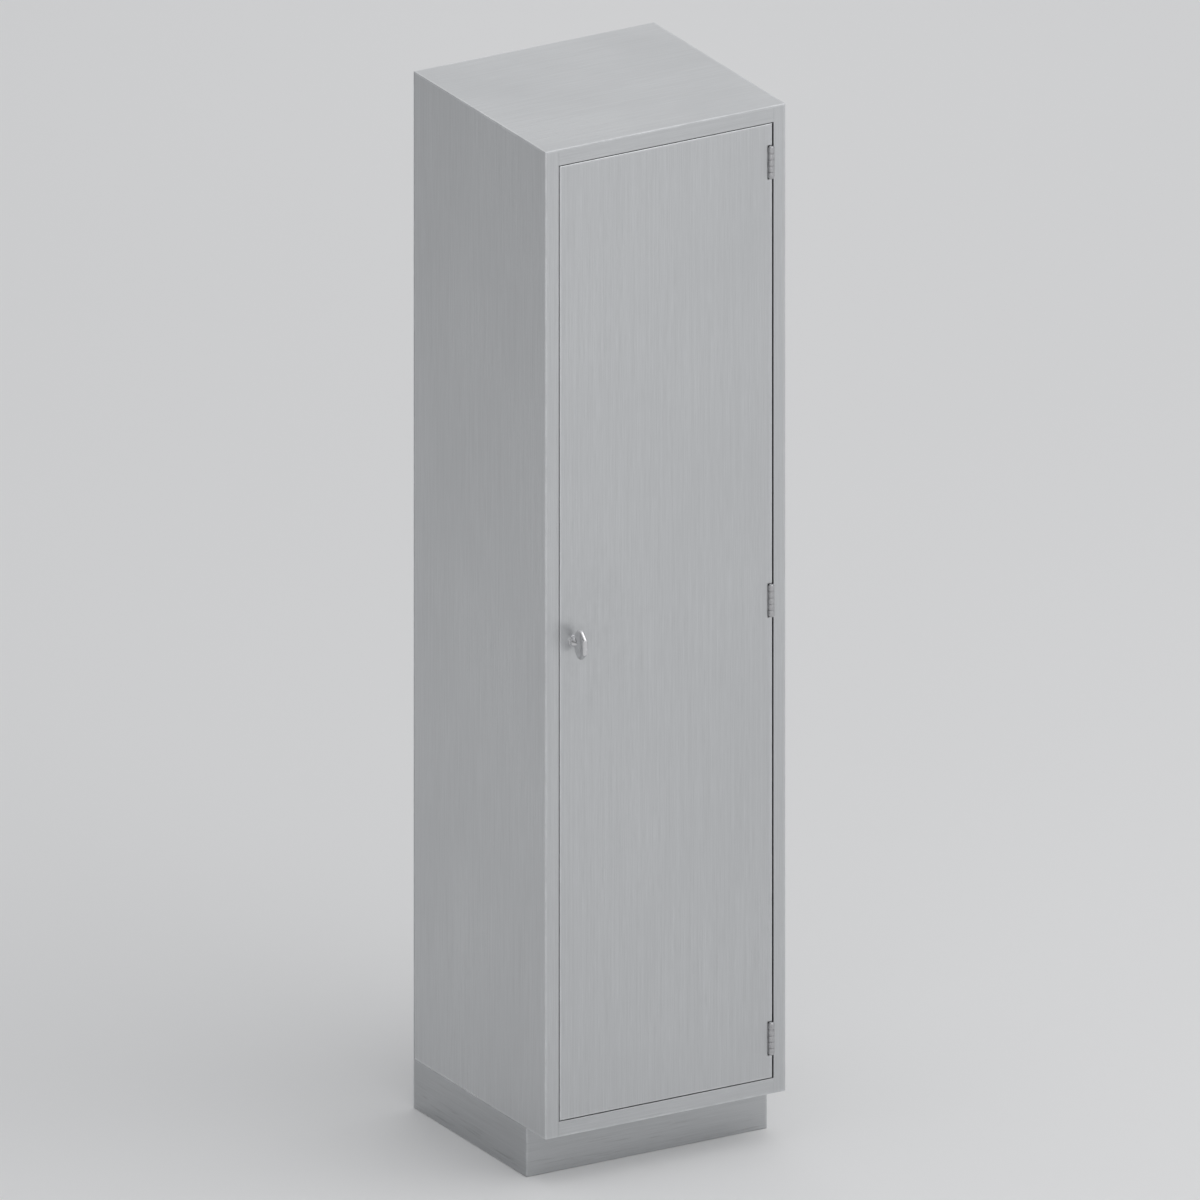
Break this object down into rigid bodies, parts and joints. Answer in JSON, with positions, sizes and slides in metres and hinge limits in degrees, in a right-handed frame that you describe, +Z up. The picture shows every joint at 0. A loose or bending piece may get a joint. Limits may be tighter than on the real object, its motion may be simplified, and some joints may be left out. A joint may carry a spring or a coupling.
{
  "type": "tall storage cabinet",
  "caption": "Tall stainless steel storage cabinet with a flush hinged door, turn-handle three-point latch, adjustable shelves and a recessed toe-kick plinth with levellers.",
  "frame": {"origin": "on the floor, under the middle of the overall box, which counts the handle in front", "axes": "+Z up, the door faces -Y, +X to the right as seen from the front, towards the hinges"},
  "size_m": [0.5334, 0.556, 2.1336],
  "materials": {
    "case_steel": "satin",
    "door_steel": "satin",
    "inner_steel": "satin",
    "plinth_steel": "satin",
    "hinge_steel": "satin",
    "handle_steel": "polished",
    "latch_steel": "satin",
    "zinc_hardware": "satin",
    "bush_bronze": "satin",
    "guide_plastic": "matte",
    "bumper_rubber": "matte",
    "plug_plastic": "matte",
    "honeycomb_core": "matte"
  },
  "bodies": {
    "cabinet": {"left_side_panel": "case_steel", "right_side_panel": "case_steel", "top_panel": "case_steel", "bottom_panel": "inner_steel", "back_panel": "case_steel", "header_rail": "case_steel", "sill_rail": "case_steel", "toe_kick": "plinth_steel", "plinth_left": "plinth_steel", "plinth_right": "plinth_steel", "plinth_rear": "plinth_steel", "corner_gussets": "zinc_hardware", "access_plugs": "plug_plastic", "shelf_1": "inner_steel", "shelf_2": "inner_steel", "shelf_3": "inner_steel", "shelf_4": "inner_steel", "shelf_5": "inner_steel", "shelf_clips": "zinc_hardware", "shelf_standard_left_front": "inner_steel", "shelf_standard_left_rear": "inner_steel", "shelf_standard_right_front": "inner_steel", "shelf_standard_right_rear": "inner_steel", "door_bumpers": "bumper_rubber", "top_hinge_frame_leaf": "hinge_steel", "middle_hinge_frame_leaf": "hinge_steel", "bottom_hinge_frame_leaf": "hinge_steel", "hinge_pins": "hinge_steel", "hinge_frame_screws": "hinge_steel"},
    "door": {"door_outer_pan": "door_steel", "door_inner_pan": "inner_steel", "door_core": "honeycomb_core", "door_hinge_channel": "latch_steel", "top_hinge_door_leaf": "hinge_steel", "middle_hinge_door_leaf": "hinge_steel", "bottom_hinge_door_leaf": "hinge_steel", "hinge_door_screws": "zinc_hardware", "handle_rose": "handle_steel", "handle_bush": "bush_bronze", "latch_case": "latch_steel", "latch_cover": "latch_steel", "latch_screws": "zinc_hardware", "rod_guides": "guide_plastic", "rod_guide_screws": "zinc_hardware"},
    "handle": {"turn_handle": "handle_steel", "spindle": "latch_steel", "pinion": "latch_steel", "centre_cam": "latch_steel", "spindle_nut": "zinc_hardware"},
    "top_latch_rod": {"top_rack": "latch_steel", "top_rod": "latch_steel"},
    "bottom_latch_rod": {"bottom_rack": "latch_steel", "bottom_rod": "latch_steel"},
    "leveller_front_left": {"leveller_front_left": "zinc_hardware"},
    "leveller_front_right": {"leveller_front_right": "zinc_hardware"},
    "leveller_rear_left": {"leveller_rear_left": "zinc_hardware"},
    "leveller_rear_right": {"leveller_rear_right": "zinc_hardware"}
  },
  "joints": [
    {"name": "door_swing", "type": "hinge", "parent": "cabinet", "child": "door", "pos_m": [0.23375, -0.2315, 1.1176], "axis": [0, 0, 1], "range_deg": [0, 170]},
    {"name": "handle_turn", "type": "hinge", "parent": "door", "child": "handle", "pos_m": [-0.2042, -0.23, 1.1176], "axis": [0, -1, 0], "range_deg": [0, 90]},
    {"name": "top_rod_slide", "type": "slide", "parent": "door", "child": "top_latch_rod", "axis": [0, 0, 1], "range_m": [0, 0.01414]},
    {"name": "bottom_rod_slide", "type": "slide", "parent": "door", "child": "bottom_latch_rod", "axis": [0, 0, -1], "range_m": [0, 0.01414]},
    {"name": "leveller_front_left_screw", "type": "slide", "parent": "cabinet", "child": "leveller_front_left", "axis": [0, 0, -1], "range_m": [0, 0.02]},
    {"name": "leveller_front_right_screw", "type": "slide", "parent": "cabinet", "child": "leveller_front_right", "axis": [0, 0, -1], "range_m": [0, 0.02]},
    {"name": "leveller_rear_left_screw", "type": "slide", "parent": "cabinet", "child": "leveller_rear_left", "axis": [0, 0, -1], "range_m": [0, 0.02]},
    {"name": "leveller_rear_right_screw", "type": "slide", "parent": "cabinet", "child": "leveller_rear_right", "axis": [0, 0, -1], "range_m": [0, 0.02]}
  ],
  "couplings": [
    {"joint": "handle_turn", "follows": "top_rod_slide", "rad_per_m": 111.11},
    {"joint": "bottom_rod_slide", "follows": "top_rod_slide", "ratio": 1}
  ]
}
